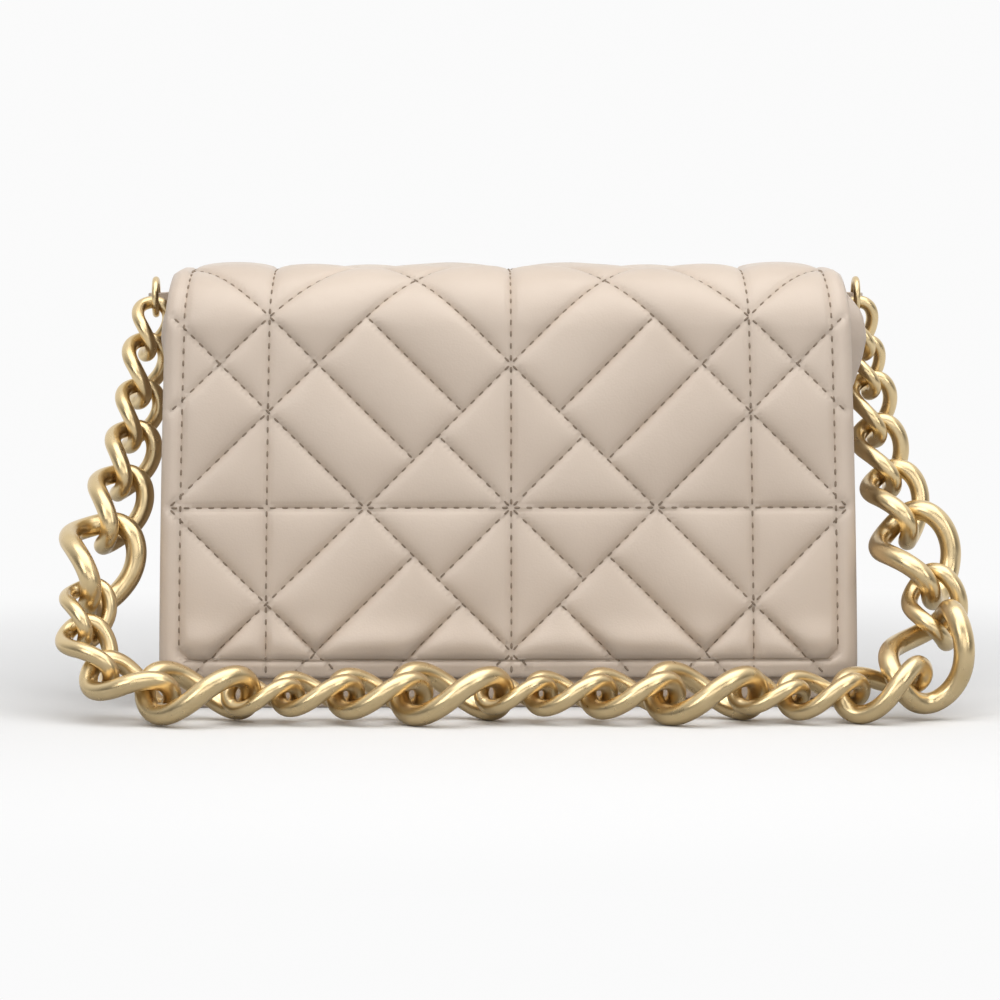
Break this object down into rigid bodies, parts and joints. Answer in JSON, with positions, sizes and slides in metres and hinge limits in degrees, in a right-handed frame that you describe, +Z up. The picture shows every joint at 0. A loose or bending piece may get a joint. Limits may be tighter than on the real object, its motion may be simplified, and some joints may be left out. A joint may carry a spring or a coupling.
{
  "type": "chain shoulder bag",
  "caption": "Quilted leather flap shoulder bag with a graduated gold curb-chain strap hung from two side rings.",
  "frame": {"origin": "middle of the base, on the surface the bag stands on", "axes": "+X to the viewer's right along the bag's width, -Y to the front where the flap hangs, +Z up"},
  "size_m": [0.3075, 0.1289, 0.149],
  "materials": {
    "leather": "soft satin nappa, beige",
    "wadding": "soft wadding",
    "lining": "woven lining, taupe",
    "magnet": "plated",
    "board": "stiff sheet",
    "ring_metal": "satin gold",
    "chain_metal": "satin gold, lightly brushed"
  },
  "bodies": {
    "bag": {"base_panel": "leather", "front_panel": "leather", "back_panel": "leather", "left_gusset": "leather", "right_gusset": "leather", "left_ring_tab": "leather", "right_ring_tab": "leather", "front_wadding": "wadding", "back_wadding": "wadding", "panel_magnet": "magnet", "base_board": "board", "lining": "lining"},
    "flap_top": {"flap_top_leather": "leather", "flap_top_wadding": "wadding", "flap_top_lining": "lining"},
    "flap_front": {"flap_front_leather": "leather", "flap_front_wadding": "wadding", "flap_front_lining": "lining", "flap_magnet": "magnet"},
    "left_ring": {"left_ring": "ring_metal"},
    "right_ring": {"right_ring": "ring_metal"},
    "strap": {"chain_link_01": "chain_metal", "chain_link_29": "chain_metal"},
    "link_02": {"chain_link_02": "chain_metal"},
    "link_03": {"chain_link_03": "chain_metal"},
    "link_04": {"chain_link_04": "chain_metal"},
    "link_05": {"chain_link_05": "chain_metal"},
    "link_06": {"chain_link_06": "chain_metal"},
    "link_07": {"chain_link_07": "chain_metal"},
    "link_08": {"chain_link_08": "chain_metal"},
    "link_09": {"chain_link_09": "chain_metal"},
    "link_10": {"chain_link_10": "chain_metal"},
    "link_11": {"chain_link_11": "chain_metal"},
    "link_12": {"chain_link_12": "chain_metal"},
    "link_13": {"chain_link_13": "chain_metal"},
    "link_14": {"chain_link_14": "chain_metal"},
    "link_15": {"chain_link_15": "chain_metal"},
    "link_16": {"chain_link_16": "chain_metal"},
    "link_17": {"chain_link_17": "chain_metal"},
    "link_18": {"chain_link_18": "chain_metal"},
    "link_19": {"chain_link_19": "chain_metal"},
    "link_20": {"chain_link_20": "chain_metal"},
    "link_21": {"chain_link_21": "chain_metal"},
    "link_22": {"chain_link_22": "chain_metal"},
    "link_23": {"chain_link_23": "chain_metal"},
    "link_24": {"chain_link_24": "chain_metal"},
    "link_25": {"chain_link_25": "chain_metal"},
    "link_26": {"chain_link_26": "chain_metal"},
    "link_27": {"chain_link_27": "chain_metal"},
    "link_28": {"chain_link_28": "chain_metal"}
  },
  "joints": [
    {"name": "flap_lift", "type": "hinge", "parent": "bag", "child": "flap_top", "pos_m": [0, 0.022, 0.149], "axis": [-1, 0, 0], "range_deg": [0, 165]},
    {"name": "flap_fold", "type": "hinge", "parent": "flap_top", "child": "flap_front", "pos_m": [0, -0.02244, 0.14324], "axis": [-1, 0, 0], "range_deg": [0, 50]},
    {"name": "left_ring_turn", "type": "hinge", "parent": "bag", "child": "left_ring", "pos_m": [-0.12232, 0.01435, 0.1385], "axis": [1, 0, 0], "continuous": true},
    {"name": "right_ring_turn", "type": "hinge", "parent": "bag", "child": "right_ring", "pos_m": [0.12232, 0.01435, 0.1385], "axis": [1, 0, 0], "continuous": true},
    {"name": "carry_swing", "type": "hinge", "parent": "bag", "child": "strap", "pos_m": [0, 0.01435, 0.1385], "axis": [-1, 0, 0], "range_deg": [0, 145]},
    {"name": "link_rock_02", "type": "hinge", "parent": "strap", "child": "link_02", "pos_m": [-0.126, 0.00547, 0.11315], "axis": [-0.1351, -0.3295, -0.9344], "range_deg": [-5, 5]},
    {"name": "link_rock_03", "type": "hinge", "parent": "strap", "child": "link_03", "pos_m": [-0.12805, -0.00108, 0.09793], "axis": [-0.1848, -0.4102, -0.8931], "range_deg": [-5, 5]},
    {"name": "link_rock_04", "type": "hinge", "parent": "strap", "child": "link_04", "pos_m": [-0.13031, -0.01091, 0.08324], "axis": [-0.2196, -0.5542, -0.8029], "range_deg": [-5, 5]},
    {"name": "link_rock_05", "type": "hinge", "parent": "strap", "child": "link_05", "pos_m": [-0.13405, -0.02369, 0.0677], "axis": [-0.2133, -0.6283, -0.7482], "range_deg": [-5, 5]},
    {"name": "link_rock_06", "type": "hinge", "parent": "strap", "child": "link_06", "pos_m": [-0.13885, -0.03941, 0.05026], "axis": [-0.1596, -0.6726, -0.7226], "range_deg": [-5, 5]},
    {"name": "link_rock_07", "type": "hinge", "parent": "strap", "child": "link_07", "pos_m": [-0.14187, -0.05393, 0.03476], "axis": [-0.0299, -0.6822, -0.7306], "range_deg": [-5, 5]},
    {"name": "link_rock_08", "type": "hinge", "parent": "strap", "child": "link_08", "pos_m": [-0.13913, -0.06519, 0.02238], "axis": [0.4769, -0.5819, -0.6588], "range_deg": [-5, 5]},
    {"name": "link_rock_09", "type": "hinge", "parent": "strap", "child": "link_09", "pos_m": [-0.12586, -0.07432, 0.01281], "axis": [0.923, -0.2622, -0.2816], "range_deg": [-5, 5]},
    {"name": "link_rock_10", "type": "hinge", "parent": "strap", "child": "link_10", "pos_m": [-0.10351, -0.07767, 0.01044], "axis": [1, 0, 0], "range_deg": [-5, 5]},
    {"name": "link_rock_11", "type": "hinge", "parent": "strap", "child": "link_11", "pos_m": [-0.08213, -0.07717, 0.00946], "axis": [1, 0, 0], "range_deg": [-5, 5]},
    {"name": "link_rock_12", "type": "hinge", "parent": "strap", "child": "link_12", "pos_m": [-0.06417, -0.07717, 0.00996], "axis": [1, 0, 0], "range_deg": [-5, 5]},
    {"name": "link_rock_13", "type": "hinge", "parent": "strap", "child": "link_13", "pos_m": [-0.04363, -0.07717, 0.00996], "axis": [1, 0, 0], "range_deg": [-5, 5]},
    {"name": "link_rock_14", "type": "hinge", "parent": "strap", "child": "link_14", "pos_m": [-0.01966, -0.07717, 0.00996], "axis": [1, 0, 0], "range_deg": [-5, 5]},
    {"name": "link_rock_15", "type": "hinge", "parent": "strap", "child": "link_15", "pos_m": [0.00172, -0.07717, 0.00996], "axis": [1, 0, 0], "range_deg": [-5, 5]},
    {"name": "link_rock_16", "type": "hinge", "parent": "strap", "child": "link_16", "pos_m": [0.01968, -0.07717, 0.00996], "axis": [1, 0, 0], "range_deg": [-5, 5]},
    {"name": "link_rock_17", "type": "hinge", "parent": "strap", "child": "link_17", "pos_m": [0.04021, -0.07717, 0.00996], "axis": [1, 0, 0], "range_deg": [-5, 5]},
    {"name": "link_rock_18", "type": "hinge", "parent": "strap", "child": "link_18", "pos_m": [0.06461, -0.07717, 0.00996], "axis": [1, 0, 0], "range_deg": [-5, 5]},
    {"name": "link_rock_19", "type": "hinge", "parent": "strap", "child": "link_19", "pos_m": [0.08557, -0.07717, 0.00996], "axis": [0.9973, 0.0119, -0.0731], "range_deg": [-5, 5]},
    {"name": "link_rock_20", "type": "hinge", "parent": "strap", "child": "link_20", "pos_m": [0.10353, -0.07762, 0.00993], "axis": [0.9962, 0, 0.0872], "range_deg": [-5, 5]},
    {"name": "link_rock_21", "type": "hinge", "parent": "strap", "child": "link_21", "pos_m": [0.12356, -0.07585, 0.01191], "axis": [0.9349, 0.1819, 0.3048], "range_deg": [-5, 5]},
    {"name": "link_rock_22", "type": "hinge", "parent": "strap", "child": "link_22", "pos_m": [0.13983, -0.0668, 0.02145], "axis": [0.4057, 0.4925, 0.77], "range_deg": [-5, 5]},
    {"name": "link_rock_23", "type": "hinge", "parent": "strap", "child": "link_23", "pos_m": [0.14387, -0.05092, 0.03579], "axis": [-0.1733, 0.5335, 0.8278], "range_deg": [-5, 5]},
    {"name": "link_rock_24", "type": "hinge", "parent": "strap", "child": "link_24", "pos_m": [0.13917, -0.03697, 0.05241], "axis": [-0.1967, 0.667, 0.7186], "range_deg": [-5, 5]},
    {"name": "link_rock_25", "type": "hinge", "parent": "strap", "child": "link_25", "pos_m": [0.13412, -0.02063, 0.0688], "axis": [-0.1818, 0.6749, 0.7152], "range_deg": [-5, 5]},
    {"name": "link_rock_26", "type": "hinge", "parent": "strap", "child": "link_26", "pos_m": [0.1301, -0.00762, 0.0844], "axis": [-0.2096, 0.4823, 0.8505], "range_deg": [-5, 5]},
    {"name": "link_rock_27", "type": "hinge", "parent": "strap", "child": "link_27", "pos_m": [0.12745, 0.00072, 0.10003], "axis": [-0.0932, 0.3514, 0.9316], "range_deg": [-5, 5]},
    {"name": "link_rock_28", "type": "hinge", "parent": "strap", "child": "link_28", "pos_m": [0.12576, 0.00592, 0.11436], "axis": [-0.1349, 0.3279, 0.935], "range_deg": [-5, 5]}
  ],
  "couplings": [
    {"joint": "flap_fold", "follows": "flap_lift", "ratio": 0.3}
  ]
}
